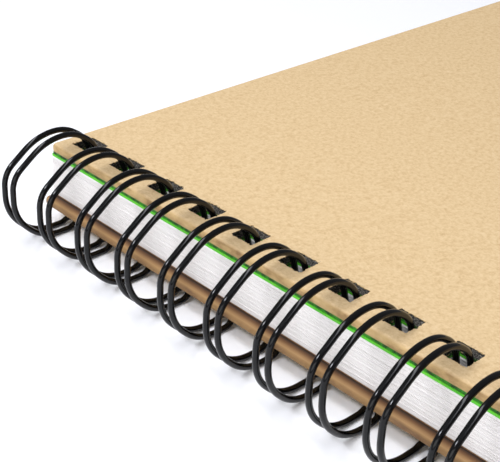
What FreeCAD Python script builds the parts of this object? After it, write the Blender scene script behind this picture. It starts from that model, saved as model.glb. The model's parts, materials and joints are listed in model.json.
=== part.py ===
import FreeCAD, Part
import math
import os
import re

import Sketcher

# A wirebound sketchbook, lying closed on a table.
#
# Every flat piece is drawn in the book's own frame: x runs from the front cover's spine edge to the
# fore-edge, y runs along the spine towards the head, and z points up out of the front cover. The
# wire loops turn about one axis along y, the hinge axis, and all levels are counted from it. The
# whole book then tips by a degree, because it lies on the loops and on the back cover's fore-edge.

SIZES = [
    ("pitch", 12.7, "from one pair of loops to the next, two pairs to the inch"),
    ("loop_count", 22, "pairs of loops, and holes in every leaf"),
    ("end_margin", 6.0, "from the head or the foot to the centre of the nearest hole"),
    ("cover_width", 215.9, "cover, from spine edge to fore-edge"),
    ("fore_square", 2.9, "how much further than the leaves the covers reach at the fore-edge"),
    ("hole_length", 5.66, "hole, along the spine"),
    ("hole_depth", 5.35, "hole, across the spine"),
    ("hole_margin", 3.43, "from the spine edge to the hole"),
    ("board_thick", 1.65, "grey board in each cover"),
    ("wrap_thick", 0.25, "kraft paper glued around the board"),
    ("turn_in", 15.0, "how far the kraft paper is folded over the board's inner face"),
    ("edge_round", 0.6, "rounding where the paper goes over the board's edge"),
    ("green_thick", 0.3, "green paper glued over the front cover's inner face"),
    ("brown_thick", 0.12, "brown paper glued over the back cover's inner face"),
    ("lining_inset", 0.2, "the lining stops this far inside the cover's edges"),
    ("flyleaf_thick", 0.44, "card between the front cover and the paper"),
    ("leaf_count", 40, "leaves of drawing paper"),
    ("leaf_thick", 0.21, "one leaf of drawing paper"),
    ("leaf_gap", 0.018, "air between two leaves"),
    ("layer_gap", 0.03, "air between a cover or the flyleaf and its neighbour"),
    ("leaf_play", 0.08, "how far leaves lie out of line with each other"),
    ("back_step", 2.36, "how far the back cover stands out at the spine"),
    ("axis_reach", 12.88, "from the hinge axis to the far wall of the front cover's holes"),
    ("axis_down", 6.185, "hinge axis, below the front cover's outer face"),
    ("lower_reach", 10.52, "from the loop's lower centre to the far wall of the back cover's holes"),
    ("lower_rise", 8.167, "the loop's lower centre, above the back cover's outer face"),
    ("wire_dia", 1.25, "coated wire"),
    ("twin_gap", 3.07, "between the centres of the two wires of a pair"),
    ("seam_gap", 0.3, "between the tip of a pair and the bar that closes it"),
    ("bar_bend", 1.0, "bend from a loop into the bar to the next pair"),
    ("cut_end", 3.6, "from the middle of the last pair to the wire's cut end"),
]

# The loop is a rounded polygon. Each side has the direction it faces, in degrees from the
# fore-edge, its distance from a centre, and the radius of the bend after it. The upper sides are
# measured from the hinge axis. The lower sides are measured from a centre of their own, so that a
# thicker book gets a longer loop. The seam side is under the back cover, where the wire is closed.
SEAM_SIDE = ("lower", 300, 11.3, 3.0)
LOOP_SIDES = [
    ("lower", 335, 11.2, 7.5),
    ("upper", 15, 11.6, 7.5),
    ("upper", 55, 11.9, 7.5),
    ("upper", 90, 11.3, 7.5),
    ("upper", 127, 10.55, 5.0),
    ("upper", 180, 10.9, 7.5),
    ("lower", 225, 10.75, 7.5),
    ("lower", 270, 11.2, 3.0),
]

doc = FreeCAD.newDocument("sketchbook")
sizes = doc.addObject("Spreadsheet::Sheet", "sizes")


def fill_sheet():
    for row, (alias, value, meaning) in enumerate(SIZES, start=1):
        sizes.set(f"A{row}", alias)
        sizes.set(f"B{row}", str(value))
        sizes.set(f"C{row}", meaning)
        sizes.setAlias(f"B{row}", alias)
    doc.recompute()


def size(alias):
    return float(sizes.get(alias))


def bind(thing, prop, formula):
    """Binds a property to the sheet. Every word of a formula is the alias of a size."""
    thing.setExpression(prop, re.sub(r"[a-z_]+", lambda word: "sizes." + word.group(), formula))


# Formulas that more than one piece shares.
BOOK_LENGTH = "((loop_count - 1) * pitch + 2 * end_margin)"
HOLE_SPAN = "((loop_count - 1) * pitch)"
COVER_THICK = "(board_thick + 2 * wrap_thick)"
LEAF_WIDTH = "(cover_width - fore_square)"


def origin_plane(body, role):
    return next(f for f in body.Origin.OriginFeatures if f.Role == role)


def rectangle_sketch(body, name, near, width, length=None, low=None):
    """A rectangle on the body's XY plane, from x = near. It is centred on the X axis, or starts at
    y = low, and every size is a formula."""
    sketch = body.newObject("Sketcher::SketchObject", name)
    sketch.AttachmentSupport = (origin_plane(body, "XY_Plane"), "")
    sketch.MapMode = "FlatFace"
    corners = [(1, 1), (3, 1), (3, 2), (1, 2)]
    points = [FreeCAD.Vector(x, y if low else y - 1.5, 0) for x, y in corners]
    for start, end in zip(points, points[1:] + points[:1]):
        sketch.addGeometry(Part.LineSegment(start, end), False)
    for side in range(4):
        sketch.addConstraint(Sketcher.Constraint("Coincident", side, 2, (side + 1) % 4, 1))
    for side, direction in ((0, "Horizontal"), (1, "Vertical"), (2, "Horizontal")):
        sketch.addConstraint(Sketcher.Constraint(direction, side))
    named = [("near", "DistanceX", (-1, 1, 0, 1), near), ("width", "DistanceX", (0, 1, 0, 2), width)]
    named.append(("length", "DistanceY", (1, 1, 1, 2), length))
    if low:
        named.append(("low", "DistanceY", (-1, 1, 0, 1), low))
        sketch.addConstraint(Sketcher.Constraint("Vertical", 3))
    else:
        sketch.addConstraint(Sketcher.Constraint("Symmetric", 0, 1, 2, 2, -1))
    for label, kind, where, formula in named:
        if formula == "0":
            sketch.addConstraint(Sketcher.Constraint("PointOnObject", 0, 1, -2))
            continue
        index = sketch.addConstraint(Sketcher.Constraint(kind, *where, 2.0))
        sketch.renameConstraint(index, label)
        bind(sketch, f"Constraints.{label}", formula)
    return sketch


def pad(body, name, sketch, height):
    feature = body.newObject("PartDesign::Pad", name)
    feature.Profile = sketch
    bind(feature, "Length", height)
    doc.recompute()
    return feature


def cut_upwards(body, name, sketch, depth=None):
    """Cuts from the body's XY plane up into the solid above it, by depth or right through."""
    before = body.Shape.Volume
    feature = body.newObject("PartDesign::Pocket", name)
    feature.Profile = sketch
    feature.Reversed = True
    if depth:
        bind(feature, "Length", depth)
    else:
        feature.Type = "ThroughAll"
    doc.recompute()
    if body.Shape.Volume > before - 0.1:
        raise RuntimeError(f"{body.Label}: {name} cut nothing")
    return feature


def punch(body, inset="0"):
    """One row of holes along the spine. The inset is how far the piece starts behind the edge."""
    low = f"{HOLE_SPAN} / 2 - hole_length / 2"
    near = "hole_margin" if inset == "0" else f"hole_margin - {inset}"
    sketch = rectangle_sketch(body, "hole", near, "hole_depth", "hole_length", low)
    hole = cut_upwards(body, "head_hole", sketch)
    row = body.newObject("PartDesign::LinearPattern", "hole_row")
    row.Originals = [hole]
    row.Direction = (sketch, ["V_Axis"])
    row.Reversed = True
    bind(row, "Length", HOLE_SPAN)
    bind(row, "Occurrences", "loop_count")
    body.Tip = row
    before = body.Shape.Volume
    doc.recompute()
    if size("loop_count") > 1 and body.Shape.Volume > before - 0.1:
        raise RuntimeError(f"{body.Label}: the holes were not repeated")


def new_body(label):
    body = doc.addObject("PartDesign::Body", label)
    body.Label = label
    return body


def make_sheet(label, width, thick):
    """A plain sheet as long as the book, with its row of holes."""
    body = new_body(label)
    pad(body, "sheet", rectangle_sketch(body, "outline", "0", width, BOOK_LENGTH), thick)
    punch(body)
    return body


def make_board(label):
    """The stiff core of a cover. It starts behind the kraft paper, on every side."""
    body = new_body(label)
    width = "cover_width - 2 * wrap_thick"
    length = f"{BOOK_LENGTH} - 2 * wrap_thick"
    pad(body, "board", rectangle_sketch(body, "outline", "0", width, length), "board_thick")
    punch(body, "wrap_thick")
    return body


def level_edges(shape, levels):
    """The names of the edges that lie flat at one of these heights."""
    names = []
    for number, edge in enumerate(shape.Edges, start=1):
        box = edge.BoundBox
        if box.ZLength < 1e-6 and any(abs(box.ZMin - level) < 1e-6 for level in levels):
            names.append(f"Edge{number}")
    return names


def make_wrap(label):
    """The kraft paper around the board: the outer face, the four edges and the turned-in rim."""
    body = new_body(label)
    outline = rectangle_sketch(body, "outline", "0", "cover_width", BOOK_LENGTH)
    block = pad(body, "cover_block", outline, COVER_THICK)
    rounding = body.newObject("PartDesign::Fillet", "wrapped_edges")
    rounding.Base = (block, level_edges(block.Shape, [0, cover_thickness()]))
    bind(rounding, "Radius", "edge_round")
    doc.recompute()
    cavity = body.newObject("PartDesign::SubtractiveBox", "board_space")
    bind(cavity, "Length", "cover_width - 2 * wrap_thick")
    bind(cavity, "Width", f"{BOOK_LENGTH} - 2 * wrap_thick")
    bind(cavity, "Height", "board_thick")
    cavity.AttachmentSupport = (origin_plane(body, "XY_Plane"), "")
    cavity.MapMode = "FlatFace"
    bind(cavity, "AttachmentOffset.Base.x", "wrap_thick")
    bind(cavity, "AttachmentOffset.Base.y", f"wrap_thick - {BOOK_LENGTH} / 2")
    bind(cavity, "AttachmentOffset.Base.z", "wrap_thick")
    doc.recompute()
    width = "cover_width - 2 * turn_in"
    length = f"{BOOK_LENGTH} - 2 * turn_in"
    window = rectangle_sketch(body, "window", "turn_in", width, length)
    cut_upwards(body, "window_in_turn_ins", window, "wrap_thick")
    punch(body)
    return body


def make_lining(label, thick):
    """The sheet glued over the turn-ins, with its middle pressed down onto the board."""
    body = new_body(label)
    width = "cover_width - 2 * lining_inset"
    length = f"{BOOK_LENGTH} - 2 * lining_inset"
    sheet = rectangle_sketch(body, "outline", "0", width, length)
    pad(body, "lining", sheet, thick)
    middle_width = "cover_width - 2 * turn_in"
    middle_length = f"{BOOK_LENGTH} - 2 * turn_in"
    middle = rectangle_sketch(body, "middle", "turn_in - lining_inset", middle_width, middle_length)
    pad(body, "pressed_middle", middle, f"{thick} + wrap_thick")
    punch(body, "lining_inset")
    return body


def cover_thickness():
    return size("board_thick") + 2 * size("wrap_thick")


def axis_out():
    """How far the hinge axis lies outside the front cover's spine edge."""
    return size("axis_reach") - size("hole_margin") - size("hole_depth")


def underside():
    """The level of the back cover's outer face, from the hinge axis."""
    leaves = size("leaf_count") * (size("leaf_thick") + size("leaf_gap")) - size("leaf_gap")
    covers = 2 * cover_thickness() + size("green_thick") + size("brown_thick")
    return size("axis_down") - covers - size("flyleaf_thick") - leaves - 3 * size("layer_gap")


def heading(angle):
    """The way along a side that faces this angle, going round from the fore-edge upwards."""
    return FreeCAD.Vector(-math.sin(math.radians(angle)), 0, math.cos(math.radians(angle)))


def axis_reach(side):
    """A side's distance from the hinge axis."""
    centre, angle, reach, _ = side
    if centre == "upper":
        return reach
    lower_x = size("axis_reach") - size("back_step") - size("lower_reach")
    lower_z = underside() + size("lower_rise")
    return reach + lower_x * math.cos(math.radians(angle)) + lower_z * math.sin(math.radians(angle))


def side_corner(side, following):
    """Where two neighbouring sides of the loop's polygon would meet."""
    a, b = math.radians(side[1]), math.radians(following[1])
    reach_a, reach_b = axis_reach(side), axis_reach(following)
    span = math.sin(b - a)
    x = (reach_a * math.sin(b) - reach_b * math.sin(a)) / span
    z = (reach_b * math.cos(a) - reach_a * math.cos(b)) / span
    return FreeCAD.Vector(x, 0, z)


def loop_bends():
    """The bends of one loop, in order from the seam up through the holes and round to the seam.
    Each is its first point, its middle point and its last point."""
    sides = [SEAM_SIDE] + LOOP_SIDES + [SEAM_SIDE]
    bends = []
    for side, following in zip(sides, sides[1:]):
        corner = side_corner(side, following)
        bend = side[3]
        turn = math.radians((following[1] - side[1]) % 360)
        reach = bend * math.tan(turn / 2)
        before, after = heading(side[1]), heading(following[1])
        inward = (after - before).normalize()
        middle = corner + inward * (bend / math.cos(turn / 2) - bend)
        bends.append((corner - before * reach, middle, corner + after * reach))
    return bends


def pair_path():
    """The centre line of one pair, from the middle of one bar to the middle of the next."""
    half_twin = size("twin_gap") / 2
    bar_bend = size("bar_bend")
    bends = loop_bends()
    uphill = heading(SEAM_SIDE[1])
    tip_start = bends[-1][2]
    bar = tip_start + uphill * (half_twin + size("wire_dia") + size("seam_gap"))
    loop_start = bar + uphill * bar_bend
    if (bends[0][0] - loop_start).dot(uphill) < 0:
        raise RuntimeError("the seam side is too short for the tip and the bar")
    along = FreeCAD.Vector(0, 1, 0)
    inset = bar_bend * (1 - math.sqrt(0.5))

    def at(point, y):
        return FreeCAD.Vector(point.x, y, point.z)

    def half(sign):
        """One wire of the pair, from the bar to where the tip begins."""
        y = sign * half_twin
        bar_end = at(bar, sign * (half_twin + bar_bend))
        corner_middle = at(bar + uphill * inset, y + sign * inset)
        edges = [Part.LineSegment(at(bar, sign * size("pitch") / 2), bar_end)]
        edges.append(Part.Arc(bar_end, corner_middle, at(loop_start, y)))
        here = loop_start
        for start, middle, end in bends:
            edges.append(Part.LineSegment(at(here, y), at(start, y)))
            edges.append(Part.Arc(at(start, y), at(middle, y), at(end, y)))
            here = end
        return [curve.toShape() for curve in edges]

    tip_middle = tip_start + uphill * half_twin
    tip = Part.Arc(tip_start - along * half_twin, tip_middle, tip_start + along * half_twin)
    return half(-1) + [tip.toShape()] + list(reversed(half(1)))


def make_wire(label):
    """All pairs of loops, bent from one length of wire."""
    edges = Part.sortEdges(pair_path())[0]
    path = Part.Wire(edges)
    start = path.OrderedVertexes[0].Point
    profile = Part.Wire(Part.makeCircle(size("wire_dia") / 2, start, FreeCAD.Vector(0, 1, 0)))
    pair = path.makePipeShell([profile], True, False)
    expected = path.Length * math.pi * (size("wire_dia") / 2) ** 2
    if abs(pair.Volume / expected - 1) > 0.01:
        raise RuntimeError("the swept pair does not have its section's volume")
    count = int(size("loop_count"))
    pairs = []
    for number in range(count):
        copy = pair.copy()
        copy.translate(FreeCAD.Vector(0, (number - (count - 1) / 2) * size("pitch"), 0))
        pairs.append(copy)
    comb = pairs[0].multiFuse(pairs[1:]).removeSplitter() if count > 1 else pairs[0]
    around = comb.BoundBox
    length = (count - 1) * size("pitch") + 2 * size("cut_end")
    corner = FreeCAD.Vector(around.XMin - 1, -length / 2, around.ZMin - 1)
    kept = Part.makeBox(around.XLength + 2, length, around.ZLength + 2, corner)
    wire = doc.addObject("Part::Feature", label)
    wire.Label = label
    wire.Shape = comb.common(kept)
    return wire


def leaf_shift(number):
    """How far a leaf has slipped on the wire. The leaves lie a little out of line."""
    return size("leaf_play") * math.sin(2.4 * number)


def build_pieces():
    """Makes every piece, and gives it with its place in the book's frame."""
    upside_down = FreeCAD.Rotation(FreeCAD.Vector(1, 0, 0), 180)
    placed = []

    def place(piece, x, z, rotation=FreeCAD.Rotation()):
        placed.append((piece, FreeCAD.Placement(FreeCAD.Vector(axis_out() + x, 0, z), rotation)))

    level = size("axis_down") - cover_thickness()
    place(make_wrap("front_wrap"), 0, level)
    place(make_board("front_board"), size("wrap_thick"), level + size("wrap_thick"))
    level -= size("green_thick")
    place(make_lining("front_lining", "green_thick"), size("lining_inset"), level)
    level -= size("layer_gap") + size("flyleaf_thick")
    place(make_sheet("front_flyleaf", LEAF_WIDTH, "flyleaf_thick"), 0, level)
    level -= size("layer_gap")
    for number in range(1, int(size("leaf_count")) + 1):
        level -= size("leaf_thick")
        leaf = make_sheet(f"leaf_{number:02d}", LEAF_WIDTH, "leaf_thick")
        place(leaf, leaf_shift(number), level)
        level -= size("leaf_gap")
    step = -size("back_step")
    level = underside() + cover_thickness() + size("brown_thick")
    place(make_lining("back_lining", "brown_thick"), step + size("lining_inset"), level, upside_down)
    level -= size("brown_thick")
    place(make_board("back_board"), step + size("wrap_thick"), level - size("wrap_thick"), upside_down)
    place(make_wrap("back_wrap"), step, level, upside_down)
    placed.append((make_wire("wire_binding"), FreeCAD.Placement()))
    return placed


def lying_down(placed):
    """The book's placement on the table: it lies on its loops and on the back cover's fore-edge."""
    lowest_loop = axis_reach(LOOP_SIDES[-1]) + size("wire_dia") / 2
    reach = axis_out() - size("back_step") + size("cover_width")
    tilt = math.asin(lowest_loop / math.hypot(reach, underside())) - math.atan2(-underside(), reach)
    tipped = FreeCAD.Rotation(FreeCAD.Vector(0, 1, 0), math.degrees(tilt))
    box = FreeCAD.BoundBox()
    for piece, place in placed:
        shape = piece.Shape.copy()
        shape.Placement = FreeCAD.Placement(FreeCAD.Vector(), tipped).multiply(place)
        box.add(shape.optimalBoundingBox(False))
    return FreeCAD.Placement(FreeCAD.Vector(-box.Center.x, -box.Center.y, -box.ZMin), tipped)


def check_document():
    for thing in doc.Objects:
        if any(word in thing.State for word in ("Invalid", "Error")):
            raise RuntimeError(f"{thing.Label}: {thing.State}")


def write_steps(placed):
    os.makedirs("parts", exist_ok=True)
    for piece, _ in placed:
        shape = piece.Shape
        if shape.isNull() or not shape.isValid() or len(shape.Solids) != 1:
            raise RuntimeError(f"{piece.Label}: not one valid solid")
        shape.exportStep(f"parts/{piece.Label}.step")


def main():
    fill_sheet()
    placed = build_pieces()
    book = lying_down(placed)
    for piece, place in placed:
        piece.Placement = book.multiply(place)
    doc.recompute()
    check_document()
    write_steps(placed)
    print(f"{len(placed)} pieces, tipped by {math.degrees(book.Rotation.Angle):.4f} degrees")
    print("hinge axis at", [round(v, 4) for v in book.Base])
    print("spine edge from the axis", round(axis_out(), 4), "underside", round(underside(), 4))


main()
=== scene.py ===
# %% [markdown]
# # A wirebound sketchbook
#
# The book has two covers of stiff dark board wrapped in kraft paper, a green lining and a green
# flyleaf under the front cover, forty leaves of drawing paper, and one black wire that is bent
# into twenty-two pairs of loops. The CAD model fixes where every piece is and how it turns.
# Here each piece gets the surface that a maker would recognise: punched rims, fibrous board,
# slightly uneven paper edges and a smooth coated wire.

# %% The frame
import json
import math
import random

import bpy
from mathutils import Matrix, Vector, noise
from mathutils.geometry import delaunay_2d_cdt


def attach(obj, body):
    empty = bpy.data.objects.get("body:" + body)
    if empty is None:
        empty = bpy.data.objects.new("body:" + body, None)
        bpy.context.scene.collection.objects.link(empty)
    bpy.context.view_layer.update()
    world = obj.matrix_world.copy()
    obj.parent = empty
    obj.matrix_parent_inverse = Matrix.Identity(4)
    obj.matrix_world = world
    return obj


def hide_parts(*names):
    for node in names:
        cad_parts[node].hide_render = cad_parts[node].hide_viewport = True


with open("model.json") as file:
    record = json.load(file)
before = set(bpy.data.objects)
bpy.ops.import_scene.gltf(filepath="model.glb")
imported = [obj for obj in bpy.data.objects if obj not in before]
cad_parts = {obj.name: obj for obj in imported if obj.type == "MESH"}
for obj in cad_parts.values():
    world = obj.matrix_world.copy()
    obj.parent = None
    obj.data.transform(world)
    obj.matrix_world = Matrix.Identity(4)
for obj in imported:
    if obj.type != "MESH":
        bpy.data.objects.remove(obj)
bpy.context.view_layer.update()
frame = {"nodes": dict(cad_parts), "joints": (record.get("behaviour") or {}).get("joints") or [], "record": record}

# %% [markdown]
# ## The book's own frame
#
# The book doesn't lie flat: it rests on its loops and on the far edge of the back cover, so it
# is tipped by about a degree. Everything is easier to draw in the book's own frame, in
# millimetres, with the hinge axis of the loops as the origin, and to tip at the very end. The
# hinge axis comes from the joint and the tip from the direction that the back cover's face points.

# %% Book frame
MM = 0.001
hinge = Vector(frame["joints"][0]["pos_m"])
face_down = Vector(frame["record"]["mounts"][0]["axis"])
tip = math.atan2(-face_down.x, -face_down.z)
BOOK = Matrix.Translation(hinge) @ Matrix.Rotation(tip, 4, "Y") @ Matrix.Scale(MM, 4)
TO_BOOK = BOOK.inverted()


def node_box(node):
    """The lowest and highest corners of a CAD node in the book's frame, in millimetres."""
    points = [TO_BOOK @ v.co for v in frame["nodes"][node].data.vertices]
    low = Vector([min(p[axis] for p in points) for axis in range(3)])
    high = Vector([max(p[axis] for p in points) for axis in range(3)])
    return low, high


front_low, front_high = node_box("front_wrap")
back_low, back_high = node_box("back_wrap")
print(f"tipped by {math.degrees(tip):.2f} degrees")
print(f"front cover from z {front_low.z:.2f} to {front_high.z:.2f} mm")

# %% [markdown]
# ## The camera
#
# A short telephoto lens looks down along the spine from the foot of the book. The camera is set
# by where it looks, from which side, how high and how far away, and by a slight roll of the
# horizon. Only the head half of the spine and a corner of the cover are in view.

# %% Camera
VIEW_SIDE = math.radians(-44.22)
VIEW_HEIGHT = math.radians(29.95)
VIEW_ROLL = math.radians(2.03)
VIEW_DISTANCE = 0.2321
LENS = 87.29
AIM_FROM_CORNER = Vector((0.00677, -0.05576, 0))
AIM_HEIGHT = 0.018

head_corner = BOOK @ Vector((front_low.x, front_high.y, front_high.z))
look_at = head_corner + AIM_FROM_CORNER
look_at.z = AIM_HEIGHT
backwards = Vector((
    math.sin(VIEW_SIDE) * math.cos(VIEW_HEIGHT),
    -math.cos(VIEW_SIDE) * math.cos(VIEW_HEIGHT),
    math.sin(VIEW_HEIGHT),
))
camera_data = bpy.data.cameras.new("camera")
camera_data.lens = LENS
camera_data.sensor_width = 36
camera_data.clip_start = 0.01
camera = bpy.data.objects.new("camera", camera_data)
bpy.context.scene.collection.objects.link(camera)
camera.matrix_world = (
    Matrix.Translation(look_at + backwards * VIEW_DISTANCE)
    @ backwards.to_track_quat("Z", "Y").to_matrix().to_4x4()
    @ Matrix.Rotation(VIEW_ROLL, 4, "Z")
)
bpy.context.scene.camera = camera
print("camera at", [round(v, 4) for v in camera.matrix_world.translation])

# %% [markdown]
# ## Small helpers
#
# One helper turns an sRGB hex colour into the linear values that a shader works with, one adds a
# node with its settings, links and colour stops, and one starts a material from its roughness and
# its index of refraction. A pattern's scale is always one over its real size in metres.

# %% Colour and nodes


def linear(hex_colour):
    """An sRGB colour such as "d9b98a" as linear red, green, blue and full alpha."""
    channels = [int(hex_colour[i:i + 2], 16) / 255 for i in (0, 2, 4)]
    return [c / 12.92 if c <= 0.04045 else ((c + 0.055) / 1.055) ** 2.4 for c in channels] + [1]


def add_node(tree, kind, settings=None, links=None, stops=()):
    """Adds a node. Settings are its properties, or its sockets by name or number. Links go from
    other nodes' outputs to its sockets. Stops are a colour ramp's positions and sRGB colours."""
    node = tree.nodes.new(kind)
    for key, value in (settings or {}).items():
        if isinstance(key, str) and key not in node.inputs:
            setattr(node, key, value)
        else:
            node.inputs[key].default_value = value
    for key, source in (links or {}).items():
        tree.links.new(source, node.inputs[key])
    if stops:
        elements = node.color_ramp.elements
        while len(elements) < len(stops):
            elements.new(0.5)
        for element, (position, colour) in zip(elements, stops):
            element.position = position
            element.color = linear(colour)
    return node


print("kraft as linear:", [round(c, 3) for c in linear("ecd2a2")])

# %% Materials and scales


def new_material(name, roughness, ior=1.5, **sockets):
    """A material with a Principled shader, its node tree and the shader."""
    material = bpy.data.materials.new(name)
    material.use_nodes = True
    tree = material.node_tree
    shader = tree.nodes["Principled BSDF"]
    shader.inputs["Roughness"].default_value = roughness
    shader.inputs["IOR"].default_value = ior
    for key, value in sockets.items():
        shader.inputs[key.replace("_", " ")].default_value = value
    return material, tree, shader


def per_mm(size):
    """The scale of a pattern whose features are this many millimetres apart."""
    return 1 / (size * MM)


print("a pattern of 1 mm has a scale of", per_mm(1.0))

# %% [markdown]
# ## Kraft paper
#
# Unbleached kraft is made from softwood pulp, pressed and dried on large rollers and left
# uncoated. The eye sees three things: a faint cloudy tone where the pulp lies thicker, short
# darker fibres that lie mostly along one direction, and an almost matt surface. The clouds are
# noise a millimetre across. The fibres are noise that is stretched along the paper's grain, and
# they are drawn a little coarser than real ones so that they still show.

# %% Kraft face
KRAFT_CLOUD = 1.0
KRAFT_FIBRE = 0.30
GRAIN_TURN = 0.6


def kraft_face(tree, place, grain, tones):
    """The flat paper's colour: clouds in three tones, with darker fibres along the grain."""
    dark, middle, light = tones
    cloud = add_node(
        tree, "ShaderNodeTexNoise",
        {"Scale": per_mm(KRAFT_CLOUD), "Detail": 5, "Roughness": 0.8},
        {"Vector": place},
    )
    tone = add_node(
        tree, "ShaderNodeValToRGB", links={0: cloud.outputs["Fac"]},
        stops=((0.28, dark), (0.5, middle), (0.72, light)),
    )
    fibres = add_node(
        tree, "ShaderNodeTexNoise",
        {"Scale": per_mm(KRAFT_FIBRE), "Detail": 3, "Roughness": 0.6},
        {"Vector": grain},
    )
    share = add_node(
        tree, "ShaderNodeMapRange",
        {"From Min": 0.48, "From Max": 0.74, "To Max": 0.5},
        {"Value": fibres.outputs["Fac"]},
    )
    mixed = add_node(
        tree, "ShaderNodeMix", {"data_type": "RGBA", 7: linear(dark)},
        {0: share.outputs[0], 6: tone.outputs[0]},
    )
    return mixed.outputs[2]


print("clouds every", KRAFT_CLOUD, "mm, fibres every", KRAFT_FIBRE, "mm")

# %% [markdown]
# ## The fold and the ledge
#
# Where the paper is folded over the board's edge it is rubbed to a deeper tan with brown patches,
# and the same tones paint the shade on the side faces, darker still on the back cover. The fold is
# found from the direction that the surface faces. On the back cover a ledge stands out in front
# of the leaves, and painted shade darkens it towards their foot, across a couple of millimetres.

# %% Rubbed fold, with painted shade
RUBBED_PATCH = 2.6
FOLD_STARTS, FOLD_IS_FULL = 0.99, 0.55


def rubbed_and_shaded_fold(tree, place, facing, flat_tone, rubbed_and_shade_tones):
    """Paints the rubbed fold and its shade where the surface turns away from up or down."""
    upright = add_node(tree, "ShaderNodeMath", {"operation": "ABSOLUTE"}, {0: facing})
    fold = add_node(
        tree, "ShaderNodeMapRange", {"From Min": FOLD_STARTS, "From Max": FOLD_IS_FULL},
        {"Value": upright.outputs[0]},
    )
    stretch = add_node(tree, "ShaderNodeMapping", {"Scale": (1.0, 0.45, 1.0)}, {"Vector": place})
    patches = add_node(
        tree, "ShaderNodeTexNoise",
        {"Scale": per_mm(RUBBED_PATCH), "Detail": 4, "Roughness": 0.6},
        {"Vector": stretch.outputs[0]},
    )
    rubbed_and_shade_tone = add_node(
        tree, "ShaderNodeValToRGB", links={0: patches.outputs["Fac"]},
        stops=tuple(zip((0.32, 0.52, 0.7), rubbed_and_shade_tones)),
    )
    mixed = add_node(
        tree, "ShaderNodeMix", {"data_type": "RGBA"},
        {0: fold.outputs[0], 6: flat_tone, 7: rubbed_and_shade_tone.outputs[0]},
    )
    return mixed.outputs[2]


print("rubbed patches every", RUBBED_PATCH, "mm")

# %% Ledge in painted shade


def painted_ledge_shade(tree, place, facing, tone, ledge):
    """Paints the leaves' shade on the ledge, from its start to where it meets the leaves."""
    start, end, ledge_shade_tones = ledge
    across = add_node(tree, "ShaderNodeSeparateXYZ", links={0: place})
    depth = add_node(
        tree, "ShaderNodeMapRange", {"From Min": start, "From Max": end},
        {"Value": across.outputs["X"]},
    )
    upward = add_node(
        tree, "ShaderNodeMapRange", {"From Min": 0.1, "From Max": 0.8}, {"Value": facing},
    )
    ledge_shade_tone = add_node(
        tree, "ShaderNodeValToRGB", links={0: depth.outputs[0]},
        stops=tuple(zip((0.05, 0.5, 0.95), ledge_shade_tones)),
    )
    mixed = add_node(
        tree, "ShaderNodeMix", {"data_type": "RGBA"},
        {0: upward.outputs[0], 6: tone, 7: ledge_shade_tone.outputs[0]},
    )
    return mixed.outputs[2]


back_edge = (BOOK @ Vector((back_low.x, 0, back_high.z))).x
block_edge = (BOOK @ Vector((front_low.x, 0, back_high.z))).x
print(f"the ledge is {(block_edge - back_edge) / MM:.2f} mm deep")

# %% Kraft paper
KRAFT_TOOTH = 0.35


def kraft_paper(name, tones, rubbed_and_shade_tones, ledge=None):
    """Kraft paper from its darkest, middle and lightest tone, and the tones of its rubbed fold, which
    also paint the side faces' shade. A ledge is where painted shade on its upper side starts, where
    it is darkest, and its tones."""
    material, tree, shader = new_material(name, roughness=0.72, ior=1.47)
    place = add_node(tree, "ShaderNodeTexCoord").outputs["Object"]
    grain = add_node(
        tree, "ShaderNodeMapping", {"Rotation": (0, 0, GRAIN_TURN), "Scale": (1.0, 0.4, 1.0)},
        {"Vector": place},
    ).outputs[0]
    normal = add_node(tree, "ShaderNodeNewGeometry").outputs["Normal"]
    facing = add_node(tree, "ShaderNodeSeparateXYZ", links={0: normal}).outputs["Z"]
    tone = kraft_face(tree, place, grain, tones)
    tone = rubbed_and_shaded_fold(tree, place, facing, tone, rubbed_and_shade_tones)
    if ledge:
        tone = painted_ledge_shade(tree, place, facing, tone, ledge)
    tree.links.new(tone, shader.inputs["Base Color"])
    tooth = add_node(
        tree, "ShaderNodeTexNoise", {"Scale": per_mm(KRAFT_TOOTH), "Detail": 4},
        {"Vector": grain},
    )
    bump = add_node(
        tree, "ShaderNodeBump", {"Strength": 0.15, "Distance": 0.04 * MM},
        {"Height": tooth.outputs["Fac"]},
    )
    tree.links.new(bump.outputs[0], shader.inputs["Normal"])
    return material


KRAFT_TONES = ("c4a373", "dbbe8f", "e5ca9e")
# The fold tones are the rubbed paper's own colour and also painted shade on the side faces.
FRONT_RUBBED_AND_SHADE = ("8a6a42", "bd9d69", "cdb07c")
# The back cover's fold tones are darker: painted shade, as its edge lies under the leaves.
BACK_RUBBED_AND_DEEPER_SHADE = ("74563a", "8f6d44", "9f7c4e")
# The ledge tones are painted shade: the leaves shade the ledge, darkest at their foot.
LEDGE_SHADE_TONES = ("a07c4e", "6d4a2a", "1c0d05")
ledge = (back_edge, block_edge - 0.1 * MM, LEDGE_SHADE_TONES)
front_kraft = kraft_paper("unbleached_kraft_paper", KRAFT_TONES, FRONT_RUBBED_AND_SHADE)
back_kraft = kraft_paper(
    "unbleached_kraft_paper_of_the_back_cover", KRAFT_TONES, BACK_RUBBED_AND_DEEPER_SHADE, ledge,
)
print("made", front_kraft.name, "and", back_kraft.name)

# %% [markdown]
# ## Dark board
#
# The stiff core of the covers is black-dyed board of recycled pulp. A punch doesn't cut it
# cleanly: it tears the layers, so the wall of a hole is a near-black felt of fibres with lighter
# broken ends. One noise, squeezed across the layers, gives both the colour and the bump.

# %% Dark board
BOARD_FIBRE = 0.28


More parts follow.
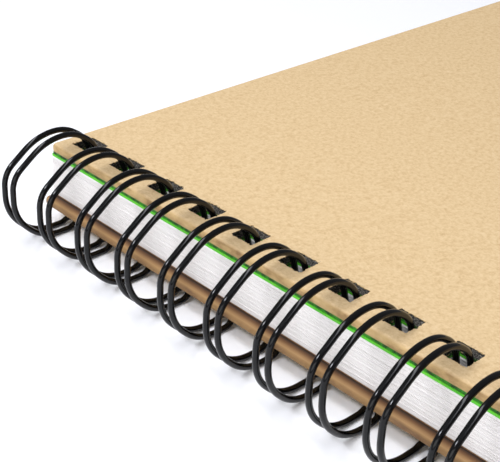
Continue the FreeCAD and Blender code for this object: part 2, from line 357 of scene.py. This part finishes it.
def torn_board():
    """Black board whose colour and bump follow its torn layers."""
    material, tree, shader = new_material("black_dyed_pulp_board", roughness=0.85, ior=1.47)
    place = add_node(tree, "ShaderNodeTexCoord").outputs["Object"]
    layers = add_node(tree, "ShaderNodeMapping", {"Scale": (1.0, 1.0, 2.2)}, {"Vector": place})
    fibres = add_node(
        tree, "ShaderNodeTexNoise",
        {"Scale": per_mm(BOARD_FIBRE), "Detail": 5, "Roughness": 0.7},
        {"Vector": layers.outputs[0]},
    )
    tone = add_node(
        tree, "ShaderNodeValToRGB", links={0: fibres.outputs["Fac"]},
        stops=((0.40, "131211"), (0.52, "47433d"), (0.62, "b5aea2")),
    )
    tree.links.new(tone.outputs[0], shader.inputs["Base Color"])
    bump = add_node(
        tree, "ShaderNodeBump", {"Strength": 1.0, "Distance": 0.2 * MM},
        {"Height": fibres.outputs["Fac"]},
    )
    tree.links.new(bump.outputs[0], shader.inputs["Normal"])
    return material


board = torn_board()
print("made", board.name)

# %% [markdown]
# ## Green paper and card
#
# The lining and the flyleaf are both dyed in the pulp, so their cut edges are as green as their
# faces. The lining's tones are darkened in patches to paint the shade under the front cover's
# rounded edge, and the flyleaf is brighter.

# %% Green papers


def dyed_paper(name, light, dark, patch, spread):
    """Paper dyed in the pulp, with patches of this size in millimetres. The smaller the spread
    around the middle of the noise, the harder the patches' edges."""
    material, tree, shader = new_material(name, roughness=0.62, ior=1.5)
    place = add_node(tree, "ShaderNodeTexCoord").outputs["Object"]
    cloud = add_node(
        tree, "ShaderNodeTexNoise", {"Scale": per_mm(patch), "Detail": 4, "Roughness": 0.6},
        {"Vector": place},
    )
    tone = add_node(
        tree, "ShaderNodeValToRGB", links={0: cloud.outputs["Fac"]},
        stops=((0.5 - spread, dark), (0.5 + spread, light)),
    )
    tree.links.new(tone.outputs[0], shader.inputs["Base Color"])
    tooth = add_node(
        tree, "ShaderNodeTexNoise", {"Scale": per_mm(0.3), "Detail": 3}, {"Vector": place},
    )
    bump = add_node(
        tree, "ShaderNodeBump", {"Strength": 0.15, "Distance": 0.03 * MM},
        {"Height": tooth.outputs["Fac"]},
    )
    tree.links.new(bump.outputs[0], shader.inputs["Normal"])
    return material


# The lining's dark tones are painted shade, under the cover's rounded edge.
green_lining = dyed_paper("green_dyed_lining_paper", "2f8a16", "123f08", patch=1.3, spread=0.1)
green_card = dyed_paper("green_dyed_card", "6cd636", "46b41c", patch=3.0, spread=0.2)
print("made", green_lining.name, "and", green_card.name)

# %% [markdown]
# ## Drawing paper and brown lining
#
# Drawing paper is an uncoated, slightly warm white with a fine tooth. Seen from its cut edge, a
# block of leaves isn't evenly white: every leaf takes the light a little differently. The edge
# pattern paints this light and shade as noise drawn out along the sheets and left at twice a
# leaf's thickness across them, so it draws fine lines on the edges and nothing on the faces. The
# back cover's lining is plain brown kraft, so the kraft paper serves for it with darker tones.

# %% Drawing paper
EDGE_LINE = 0.42


def drawing_paper(name, light, dark):
    """White paper whose cut edges show painted light and shade as fine lines between these tones."""
    material, tree, shader = new_material(name, roughness=0.8, ior=1.5)
    place = add_node(tree, "ShaderNodeTexCoord").outputs["Object"]
    edge = add_node(tree, "ShaderNodeMapping", {"Scale": (0.004, 0.001, 1.0)}, {"Vector": place})
    lines = add_node(
        tree, "ShaderNodeTexNoise", {"Scale": per_mm(EDGE_LINE), "Detail": 2, "Roughness": 0.7},
        {"Vector": edge.outputs[0]},
    )
    tone = add_node(
        tree, "ShaderNodeValToRGB", links={0: lines.outputs["Fac"]},
        stops=((0.3, dark), (0.7, light)),
    )
    tree.links.new(tone.outputs[0], shader.inputs["Base Color"])
    tooth = add_node(
        tree, "ShaderNodeTexNoise", {"Scale": per_mm(0.4), "Detail": 4}, {"Vector": place},
    )
    bump = add_node(
        tree, "ShaderNodeBump", {"Strength": 0.12, "Distance": 0.03 * MM},
        {"Height": tooth.outputs["Fac"]},
    )
    tree.links.new(bump.outputs[0], shader.inputs["Normal"])
    return material


BROWN_TONES = ("6f4e2e", "8f6a45", "a9805a")
# The lining's fold tones, too, are rubbed colour and painted shade.
BROWN_RUBBED_AND_SHADE = ("573a20", "7a5836", "8f6a45")
paper = drawing_paper("uncoated_drawing_paper", "f0ece8", "e3dfdb")
brown_lining = kraft_paper("brown_kraft_lining", BROWN_TONES, BROWN_RUBBED_AND_SHADE)
print("made", paper.name, "and", brown_lining.name)

# %% [markdown]
# ## Coated wire
#
# The steel wire is dipped in black nylon. The coating flows smooth before it sets, so it mirrors
# the lamps in long streaks, and only a faint unevenness breaks them up. Nylon's IOR is 1.53, and
# handling has dulled the coating, so it reflects less than fresh nylon.

# %% Coated wire


def coated_wire():
    """Black nylon over wire: dark, smooth, and slightly wavy where the coating flowed."""
    material, tree, shader = new_material(
        "black_nylon_coating", roughness=0.13, ior=1.53, Specular_IOR_Level=0.28,
    )
    shader.inputs["Base Color"].default_value = linear("060607")
    place = add_node(tree, "ShaderNodeTexCoord").outputs["Object"]
    flow = add_node(
        tree, "ShaderNodeTexNoise", {"Scale": per_mm(1.1), "Detail": 2}, {"Vector": place},
    )
    bump = add_node(
        tree, "ShaderNodeBump", {"Strength": 0.12, "Distance": 0.05 * MM},
        {"Height": flow.outputs["Fac"]},
    )
    tree.links.new(bump.outputs[0], shader.inputs["Normal"])
    return material


nylon = coated_wire()
print("made", nylon.name)

# %% [markdown]
# ## Building shells
#
# Covers and leaves are flat shapes with rows of holes, so they are all built the same way: rings
# of points around the outline and around each hole, bands of quads between two rings, and flat
# faces between an outer ring and the hole rings. The flat faces are filled by a constrained
# triangulation, which keeps every ring point.

# %% Shell builder


class Shell:
    """Collects a piece's points, in millimetres in the book's frame, and its faces."""

    def __init__(self):
        self.points = []
        self.faces = []

    def ring(self, places):
        start = len(self.points)
        self.points.extend(places)
        return list(range(start, len(self.points)))

    def band(self, lower, upper):
        """Quads between two rings that run anticlockwise from above. They face away from the
        rings' inside when upper lies above lower."""
        count = len(lower)
        for i in range(count):
            j = (i + 1) % count
            self.faces.append((lower[i], lower[j], upper[j], upper[i]))

    def fill(self, outer, holes, facing_up):
        """The flat region inside the outer ring and outside the holes."""
        numbers = list(outer)
        regions = [list(range(len(outer)))]
        for hole in holes:
            first = len(numbers)
            numbers.extend(hole)
            regions.append(list(range(first, len(numbers))))
        flat = [Vector(self.points[n][:2]) for n in numbers]
        found = delaunay_2d_cdt(flat, [], regions, 2, 1e-7)
        for face in found[2]:
            corners = [numbers[found[3][c][0]] for c in face]
            a, b, c = (self.points[n] for n in corners[:3])
            turn = (b[0] - a[0]) * (c[1] - a[1]) - (b[1] - a[1]) * (c[0] - a[0])
            if (turn > 0) != facing_up:
                corners.reverse()
            self.faces.append(tuple(corners))

    def to_object(self, name, material, sharp=35):
        mesh = bpy.data.meshes.new(name)
        mesh.from_pydata([BOOK @ Vector(p) for p in self.points], [], self.faces)
        mesh.validate()
        mesh.shade_smooth()
        mesh.set_sharp_from_angle(angle=math.radians(sharp))
        mesh.materials.append(material)
        piece = bpy.data.objects.new(name, mesh)
        bpy.context.scene.collection.objects.link(piece)
        return piece


def rounded_outline(x_span, y_span, corner, step, corner_steps=3):
    """Points and outward directions around a rectangle with rounded corners, anticlockwise."""
    (x0, x1), (y0, y1) = x_span, y_span
    turns = ((x1, y0, -90), (x1, y1, 0), (x0, y1, 90), (x0, y0, 180))
    around = []
    for number, (x, y, start) in enumerate(turns):
        cx = x - corner if x == x1 else x + corner
        cy = y - corner if y == y1 else y + corner
        for k in range(corner_steps + 1):
            angle = math.radians(start + 90 * k / corner_steps)
            way = Vector((math.cos(angle), math.sin(angle)))
            around.append((Vector((cx, cy)) + way * corner, way))
        length = (y1 - y0 if number % 2 == 0 else x1 - x0) - 2 * corner
        pieces = max(1, round(length / step))
        ahead = Vector((-way.y, way.x))
        last = around[-1][0]
        around.extend((last + ahead * (length * k / pieces), way) for k in range(1, pieces))
    return around


def offset_ring(outline, outward, level, tear=None):
    """A ring at some distance outside an outline. The tear moves each point along its direction."""
    places = []
    for point, way in outline:
        moved = point + way * (outward + (tear(point, level) if tear else 0))
        places.append((moved.x, moved.y, level))
    return places


print("shell builder ready")

# %% [markdown]
# ## The holes
#
# A rectangular hole for each pair of loops runs through every layer. In the covers the punch
# leaves a slightly ragged rim: the paper is nicked here and there and pressed down a little. The
# raggedness is noise of the place itself, so it is the same each time the script runs.

# %% Hole plan
PITCH = 12.7
LOOP_COUNT = 22
HOLE_LENGTH = 5.66
HOLE_DEPTH = 5.35
HOLE_MARGIN = 3.43
HOLE_CORNER = 0.3
PUNCH_STEP = 0.2
PAPER_STEP = 1.2

hole_rows = [(number - (LOOP_COUNT - 1) / 2) * PITCH for number in range(LOOP_COUNT)]


def hole_outlines(spine, step):
    """The outlines of one row of holes behind the spine edge, at this spacing of points."""
    near = spine + HOLE_MARGIN
    x_span = (near, near + HOLE_DEPTH)
    y_spans = [(y - HOLE_LENGTH / 2, y + HOLE_LENGTH / 2) for y in hole_rows]
    return [rounded_outline(x_span, y_span, HOLE_CORNER, step) for y_span in y_spans]
MOST_IN, MOST_OUT = 0.25, 0.42


def ragged(amount, size, seed):
    """A tear: how far a place is displaced, from noise of this size in millimetres."""
    def tear(point, level):
        place = Vector((point.x / size, point.y / size, level / size + seed))
        fine = noise.noise(place) + 0.5 * noise.noise(place * 2.3)
        nick = max(0.0, noise.noise(place * 0.7 + Vector((7, 3, 1))) - 0.25) * 3
        return max(-MOST_IN, min(MOST_OUT, amount * (fine + nick)))
    return tear


print(len(hole_rows), "holes from", round(hole_rows[0], 2), "to", round(hole_rows[-1], 2), "mm")

# %% [markdown]
# ## The wrapped covers
#
# A cover is kraft paper glued around a board and turned in on the inside. It is modelled as the
# real skin: an outer face that rounds over the board's edge, a cavity that the board fills, and
# a window in the inner face where the turned-in paper stops. The back cover is the same shape
# upside down, so the builder takes the levels of the outer and the inner face in either order.

# %% Rounded rim
WRAP = 0.25
TURN_IN = 15.0
EDGE_ROUND = 0.8
FOLD_STEPS = 5
COVER_CORNER = 1.0


def cover_outline(x_span, y_span, inset):
    """The outline of a cover, or of its cavity when it is inset."""
    spans = [(span[0] + inset, span[1] - inset) for span in (x_span, y_span)]
    return rounded_outline(*spans, COVER_CORNER, 4.0, corner_steps=5)


def rounded_rim(skin, x_span, y_span, low, high):
    """The rim that rounds over the board's edge. Gives the rings of the lower and upper face."""
    rim = cover_outline(x_span, y_span, 0)
    quarter = [math.pi / 2 * k / FOLD_STEPS for k in range(FOLD_STEPS + 1)]
    rings = []
    for turn in quarter:
        level = low + EDGE_ROUND * (1 - math.cos(turn))
        rings.append(skin.ring(offset_ring(rim, -EDGE_ROUND * (1 - math.sin(turn)), level)))
    for turn in quarter:
        level = high - EDGE_ROUND * (1 - math.sin(turn))
        rings.append(skin.ring(offset_ring(rim, -EDGE_ROUND * (1 - math.cos(turn)), level)))
    flat_low = skin.ring(offset_ring(rim, -EDGE_ROUND - 0.15, low))
    flat_high = skin.ring(offset_ring(rim, -EDGE_ROUND - 0.15, high))
    rings = [flat_low] + rings + [flat_high]
    for below, above in zip(rings, rings[1:]):
        skin.band(below, above)
    return flat_low, flat_high


print("folds rounded by", EDGE_ROUND, "mm; paper turned in by", TURN_IN, "mm")

# %% Torn hole in the paper
SHOULDER = 0.55
SLOPE = 0.36
PRESSED_SLOPE, PRESSED_LIP = 0.012, 0.07
BEHIND = 0.40


def wrapped_hole(skin, outline, face, into, tear):
    """One hole through the paper: pressed down around its rim, torn at the lip and on the inside,
    and then out to the cavity behind. Gives the ring on the face and the ring behind it."""
    shoulder = skin.ring(offset_ring(outline, SHOULDER, face))
    slope = skin.ring(offset_ring(outline, SLOPE, face + into * PRESSED_SLOPE))
    lip = skin.ring(offset_ring(outline, 0.0, face + into * PRESSED_LIP, tear))
    inside = skin.ring(offset_ring(outline, 0.02, face + into * (WRAP - 0.02), tear))
    behind = skin.ring(offset_ring(outline, BEHIND, face + into * WRAP))
    walls = [shoulder, slope, lip, inside, behind]
    for outer, inner in zip(walls, walls[1:]):
        skin.band(*((outer, inner) if into < 0 else (inner, outer)))
    return shoulder, behind


print("rims pressed down over", SHOULDER, "mm")

# %% Wrapped cover
KRAFT_TEAR, KRAFT_TEAR_SIZE = 0.24, 0.34


def wrapped_cover(name, node, outer_up, material, seed):
    """The kraft skin of one cover. Its outer face looks up on the front cover, down on the back."""
    low, high = node_box(node)
    x_span, y_span = (low.x, high.x), (low.y, high.y)
    skin = Shell()
    flat_low, flat_high = rounded_rim(skin, x_span, y_span, low.z, high.z)

    cavity = cover_outline(x_span, y_span, WRAP)
    cavity_low = skin.ring(offset_ring(cavity, 0, low.z + WRAP))
    cavity_high = skin.ring(offset_ring(cavity, 0, high.z - WRAP))
    skin.band(cavity_high, cavity_low)

    window_spans = [(span[0] + TURN_IN, span[1] - TURN_IN) for span in (x_span, y_span)]
    window = rounded_outline(*window_spans, COVER_CORNER, 8.0)
    inner_face = low.z if outer_up else high.z
    inner_cavity = low.z + WRAP if outer_up else high.z - WRAP
    window_face = skin.ring(offset_ring(window, 0, inner_face))
    window_cavity = skin.ring(offset_ring(window, 0, inner_cavity))
    skin.band(*((window_cavity, window_face) if outer_up else (window_face, window_cavity)))

    tear = ragged(KRAFT_TEAR, KRAFT_TEAR_SIZE, seed)
    face_holes = {low.z: [], high.z: [], low.z + WRAP: [], high.z - WRAP: []}
    for outline in hole_outlines(x_span[0], PUNCH_STEP):
        for face, into in ((high.z, -1), (low.z, 1)):
            shoulder, behind = wrapped_hole(skin, outline, face, into, tear)
            face_holes[face].append(shoulder)
            face_holes[face + into * WRAP].append(behind)

    face_holes[inner_face].append(window_face)
    face_holes[inner_cavity].append(window_cavity)
    skin.fill(flat_high, face_holes[high.z], True)
    skin.fill(flat_low, face_holes[low.z], False)
    skin.fill(cavity_high, face_holes[high.z - WRAP], False)
    skin.fill(cavity_low, face_holes[low.z + WRAP], True)
    piece = skin.to_object(name, material)
    body = "front_cover" if outer_up else "back_cover"
    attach(piece, body)
    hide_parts(node)
    print(f"{name}: {len(piece.data.polygons)} faces")


wrapped_cover("front_cover_kraft", "front_wrap", True, front_kraft, 0.0)
wrapped_cover("back_cover_kraft", "back_wrap", False, back_kraft, 40.0)

# %% [markdown]
# ## The boards
#
# Only the walls of the holes show the board, and they are what makes a punched hole look real:
# the layers are torn in and out by a tenth of a millimetre. The wall gets seven levels, each torn
# by its own noise, and thin spikes stand for the broken ends of fibres.

# %% Broken fibres
FIBRES_PER_HOLE = 45
FIBRE_LENGTH = (0.25, 0.6)
FIBRE_HALF_WIDTH = (0.03, 0.07)
PULLED_SHARE = 0.4
PULLED_LENGTH = (0.2, 0.5)


def add_fibres(core, outline, low, high, rim_level, chance):
    """Broken fibre ends that stand out of a hole's wall, and some that are pulled over its rim."""
    for _ in range(FIBRES_PER_HOLE):
        point, way = chance.choice(outline)
        out = Vector((way.x, way.y, 0))
        along = Vector((-way.y, way.x, 0))
        root = Vector((point.x, point.y, chance.uniform(low, high))) + out * 0.12
        rise = Vector((0, 0, 1))
        lean = along * chance.uniform(-1.4, 1.4) - out + rise * chance.uniform(-0.4, 0.8)
        end = root + lean.normalized() * chance.uniform(*FIBRE_LENGTH)
        if rim_level and chance.random() < PULLED_SHARE:
            root.z = rim_level - 0.1
            pull = (out + along * chance.uniform(-1, 1)).normalized()
            end = root + pull * chance.uniform(*PULLED_LENGTH)
            end.z = rim_level + 0.04
        half = chance.uniform(*FIBRE_HALF_WIDTH)
        base = core.ring([root + along * half, root - along * half, root + rise * half])
        tip = core.ring([end])[0]
        core.faces.extend((base[k], base[(k + 1) % 3], tip) for k in range(3))


print(FIBRES_PER_HOLE, "fibres in each hole")

# %% Boards
WALL_LEVELS = 7
BOARD_TEAR, BOARD_TEAR_SIZE = 0.16, 0.42


def board_core(name, node, body, seed):
    """The board of one cover, with torn walls in its holes."""
    low, high = node_box(node)
    chance = random.Random(seed)
    core = Shell()
    rim = rounded_outline((low.x, high.x), (low.y, high.y), COVER_CORNER, 8.0)
    bottom = core.ring(offset_ring(rim, 0, low.z))
    top = core.ring(offset_ring(rim, 0, high.z))
    core.band(bottom, top)
    tear = ragged(BOARD_TEAR, BOARD_TEAR_SIZE, seed)
    levels = [low.z + (high.z - low.z) * k / (WALL_LEVELS - 1) for k in range(WALL_LEVELS)]
    rim_level = high.z + WRAP if body == "front_cover" else None
    bottoms, tops = [], []
    for outline in hole_outlines(low.x - WRAP, PUNCH_STEP):
        walls = [core.ring(offset_ring(outline, 0.05, level, tear)) for level in levels]
        bottoms.append(core.ring(offset_ring(outline, BEHIND, low.z)))
        tops.append(core.ring(offset_ring(outline, BEHIND, high.z)))
        walls = [bottoms[-1]] + walls + [tops[-1]]
        for below, above in zip(walls, walls[1:]):
            core.band(above, below)
        add_fibres(core, outline, low.z, high.z, rim_level, chance)
    core.fill(top, tops, True)
    core.fill(bottom, bottoms, False)
    piece = core.to_object(name, board, sharp=60)
    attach(piece, body)
    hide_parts(node)
    print(f"{name}: {len(piece.data.polygons)} faces")


board_core("front_cover_board", "front_board", "front_cover", 11.0)
board_core("back_cover_board", "back_board", "back_cover", 57.0)

# %% [markdown]
# ## Linings, flyleaf and leaves
#
# Every sheet is cut by the same guillotine and punched by the same tool, yet no two leaves end at
# exactly the same place. Each leaf's spine edge wavers by a few hundredths of a millimetre, and
# some leaves are pressed together while others leave a hair of air. The back lining is set back
# from the spine, so that the kraft ledge shows in front of the leaves.

# %% Punched sheet


def punched_sheet(
    name, node, body, material, waver, seed, spread=0.0, outset=0.0, set_back=0.0,
):
    """A flat sheet in the place of a CAD node, with an edge that wavers. The spread thickens it,
    the outset is how far it stops inside the cover, and it can be set back from the spine."""
    low, high = node_box(node)
    sheet = Shell()
    rim = rounded_outline((low.x + set_back, high.x), (low.y, high.y), 0.4, 5.0)
    edge = ragged(waver, 14.0, seed)
    bottom = sheet.ring(offset_ring(rim, 0, low.z - spread, edge))
    top = sheet.ring(offset_ring(rim, 0, high.z + spread, edge))
    sheet.band(bottom, top)
    tear = ragged(waver, 2.0, seed)
    bottoms, tops = [], []
    for outline in hole_outlines(low.x - outset, PAPER_STEP):
        bottoms.append(sheet.ring(offset_ring(outline, 0, low.z - spread, tear)))
        tops.append(sheet.ring(offset_ring(outline, 0, high.z + spread, tear)))
        sheet.band(tops[-1], bottoms[-1])
    sheet.fill(top, tops, True)
    sheet.fill(bottom, bottoms, False)
    piece = sheet.to_object(name, material)
    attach(piece, body)
    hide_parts(node)
    print(f"{name}: {(high.z - low.z) + 2 * spread:.3f} mm from face to face")


# %% Linings and flyleaf
LINING_INSET = 0.2
LEDGE_WIDTH = 2.1
LINING_WAVER = 0.03
punched_sheet(
    "front_cover_lining", "front_lining", "front_cover", green_lining,
    LINING_WAVER, 3.0, outset=LINING_INSET,
)
punched_sheet(
    "green_flyleaf", "front_flyleaf", "front_flyleaf", green_card,
    LINING_WAVER, 5.0,
)
punched_sheet(
    "back_cover_lining", "back_lining", "back_cover", brown_lining,
    LINING_WAVER, 6.0, outset=LINING_INSET, set_back=LEDGE_WIDTH,
)

# %% Leaves
LEAF_WAVER = 0.05
LEAF_SPREAD = (0.005, 0.0088)
leaf_nodes = sorted(node for node in frame["nodes"] if node.startswith("leaf_"))
chance = random.Random(7)
for number, node in enumerate(leaf_nodes):
    spread = chance.uniform(*LEAF_SPREAD)
    punched_sheet(
        f"drawing_{node}", node, node, paper,
        LEAF_WAVER, 100.0 + 3 * number, spread,
    )
print(len(leaf_nodes), "leaves")

# %% [markdown]
# ## The wire
#
# The binding is one length of wire. It runs up through a hole, round the spine and back under
# the back cover, turns in a tight tip, comes back beside itself, and crosses over to the next
# pair by a short bar. The loop isn't a circle: closing it in a press leaves a rounded polygon.
# Its sides are given, as on the real tool, by the direction each faces, its distance from the
# middle, and the bend that follows. The centre line is then a row of points along straights and
# bends, and the tube is a ring of points around each.

# %% Loop outline
WIRE_RADIUS = 0.625
HALF_TWIN = 3.07 / 2
SEAM_GAP = 0.3
BAR_BEND = 1.0
CUT_END = 3.6
SEAM_SIDE = (300, 11.3, 3.0)
LOOP_SIDES = [
    (335, 11.2, 7.5),
    (15, 11.6, 7.5),
    (55, 11.9, 9.0),
    (90, 11.3, 12.0),
    (127, 10.55, 5.5),
    (180, 10.9, 10.5),
    (225, 10.75, 10.5),
    (270, 11.2, 3.0),
]


def heading(angle):
    """The way along a side that faces this angle."""
    return Vector((-math.sin(math.radians(angle)), math.cos(math.radians(angle))))


def loop_line():
    """The centre line of one loop in x and z, from the start of the seam side round to its end."""
    line = []
    sides = [SEAM_SIDE] + LOOP_SIDES + [SEAM_SIDE]
    for (angle_a, reach_a, bend), (angle_b, reach_b, _) in zip(sides, sides[1:]):
        a, b = math.radians(angle_a), math.radians(angle_b)
        span = math.sin(b - a)
        corner = Vector((
            (reach_a * math.sin(b) - reach_b * math.sin(a)) / span,
            (reach_b * math.cos(a) - reach_a * math.cos(b)) / span,
        ))
        turn = math.radians((angle_b - angle_a) % 360)
        start = corner - heading(angle_a) * bend * math.tan(turn / 2)
        centre = start - bend * Vector((math.cos(a), math.sin(a)))
        count = max(4, round(math.degrees(turn) / 5))
        for k in range(count + 1):
            angle = a + turn * k / count
            line.append(centre + bend * Vector((math.cos(angle), math.sin(angle))))
    return line


loop = loop_line()
highest = max(p.y for p in loop)
print(len(loop), "points along one loop; highest", round(highest, 2), "mm above the axis")

# %% Wire centre line
BAR_STEPS = 6
TIP_STEPS = 12
SHIFT, LEAN = 0.06, 0.004
uphill = heading(SEAM_SIDE[0])
tip_start = loop[-1]
bar_place = tip_start + uphill * (HALF_TWIN + 2 * WIRE_RADIUS + SEAM_GAP)
tremble = random.Random(23)


def half_pair(middle, sign, twist):
    """One wire of a pair: from the bar, round the loop, to where the tip begins."""
    y = middle + sign * HALF_TWIN
    points = []
    for k in range(BAR_STEPS + 1):
        angle = math.pi / 2 * k / BAR_STEPS
        place = bar_place + uphill * BAR_BEND * (1 - math.cos(angle))
        points.append(Vector((place.x, y + sign * BAR_BEND * (1 - math.sin(angle)), place.y)))
    points.extend(Vector((p.x, y + twist * p.y, p.y)) for p in loop)
    return points


def wire_line():
    """The whole wire, from its cut end at the foot to its cut end at the head. Each pair is
    shifted and leans by a hair, as no press closes them all alike."""
    line = [Vector((bar_place.x, hole_rows[0] - CUT_END, bar_place.y))]
    for middle in hole_rows:
        middle += tremble.uniform(-SHIFT, SHIFT)
        twist = tremble.uniform(-LEAN, LEAN)
        line.extend(half_pair(middle, -1, twist))
        for k in range(1, TIP_STEPS):
            angle = math.pi * k / TIP_STEPS
            place = tip_start + uphill * HALF_TWIN * math.sin(angle)
            line.append(Vector((place.x, middle - HALF_TWIN * math.cos(angle), place.y)))
        line.extend(reversed(half_pair(middle, 1, twist)))
    line.append(Vector((bar_place.x, hole_rows[-1] + CUT_END, bar_place.y)))
    return line


line = wire_line()
length = sum((b - a).length for a, b in zip(line, line[1:])) * MM
print(len(line), "points; the wire is", round(length, 2), "m long")

# %% Wire tube
AROUND = 16


def tube(name, line, radius, material):
    """A round tube along a line of points, with flat ends."""
    wire = Shell()
    side = Vector((0, 0, 1)).cross(line[1] - line[0]).normalized()
    angles = [2 * math.pi * k / AROUND for k in range(AROUND)]
    rings = []
    for number, point in enumerate(line):
        before = line[max(number - 1, 0)]
        after = line[min(number + 1, len(line) - 1)]
        way = (after - before).normalized()
        side = (side - way * side.dot(way)).normalized()
        across = way.cross(side)
        rings.append(wire.ring([
            point + radius * (side * math.cos(angle) + across * math.sin(angle))
            for angle in angles
        ]))
    for before, after in zip(rings, rings[1:]):
        wire.band(before, after)
    wire.faces.append(tuple(reversed(rings[0])))
    wire.faces.append(tuple(rings[-1]))
    return wire.to_object(name, material)


binding = tube("twin_loop_wire", line, WIRE_RADIUS, nylon)
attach(binding, "back_cover")
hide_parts("wire_binding")
print("wire:", len(binding.data.polygons), "faces")

# %% [markdown]
# ## Floor and light
#
# The book lies on a plain white table in a bright, soft studio. A long strip lamp overhead, along
# the row of loops from side to side, gives the long streaks on the wire. A smaller one high on
# the spine's side gives the short glints, a low one lights the edges of the leaves, and a pale
# room fills the rest.

# %% Floor
TABLE_HALF = 6.0
TABLE_CLOUD = 60


def white_table():
    """Matt white laminate, so even that only the shadows show where it is."""
    material, tree, shader = new_material("matt_white_laminate", roughness=0.6)
    place = add_node(tree, "ShaderNodeTexCoord").outputs["Object"]
    cloud = add_node(
        tree, "ShaderNodeTexNoise", {"Scale": per_mm(TABLE_CLOUD), "Detail": 2},
        {"Vector": place},
    )
    tone = add_node(
        tree, "ShaderNodeValToRGB", links={0: cloud.outputs["Fac"]},
        stops=((0.3, "fbfbfb"), (0.7, "fdfdfd")),
    )
    tree.links.new(tone.outputs[0], shader.inputs["Base Color"])
    return material


floor_mesh = bpy.data.meshes.new("table")
corners = [(x * TABLE_HALF, y * TABLE_HALF, 0) for x, y in ((-1, -1), (1, -1), (1, 1), (-1, 1))]
floor_mesh.from_pydata(corners, [], [(0, 1, 2, 3)])
floor_mesh.materials.append(white_table())
floor = bpy.data.objects.new("table", floor_mesh)
bpy.context.scene.collection.objects.link(floor)
print("a table", 2 * TABLE_HALF, "m wide")

# %% Lamps
LAMPS_FACE = Vector((-0.09, 0.06, 0.01))


def softbox(name, place, size, power, colour="ffffff"):
    """A rectangular lamp that faces the spine."""
    data = bpy.data.lights.new(name, "AREA")
    data.shape = "RECTANGLE"
    data.size, data.size_y = size
    data.energy = power
    data.color = linear(colour)[:3]
    lamp = bpy.data.objects.new(name, data)
    bpy.context.scene.collection.objects.link(lamp)
    aim = (Vector(place) - LAMPS_FACE).to_track_quat("Z", "Y")
    lamp.matrix_world = Matrix.Translation(place) @ aim.to_matrix().to_4x4()


softbox("strip_lamp", (-0.26, 0.1, 0.95), (1.8, 0.18), 7.4, "f6f8ff")
softbox("window_lamp", (-0.62, 0.2, 0.66), (0.34, 0.14), 4.2, "f2f5ff")
softbox("low_lamp", (-0.75, -0.15, 0.25), (0.8, 0.3), 1.4)

world = bpy.data.worlds.new("studio")
world.use_nodes = True
background = world.node_tree.nodes["Background"]
background.inputs["Color"].default_value = linear("fafaff")
background.inputs["Strength"].default_value = 0.3
bpy.context.scene.world = world
bpy.context.scene.view_settings.view_transform = "Standard"
print("three lamps and a pale room")
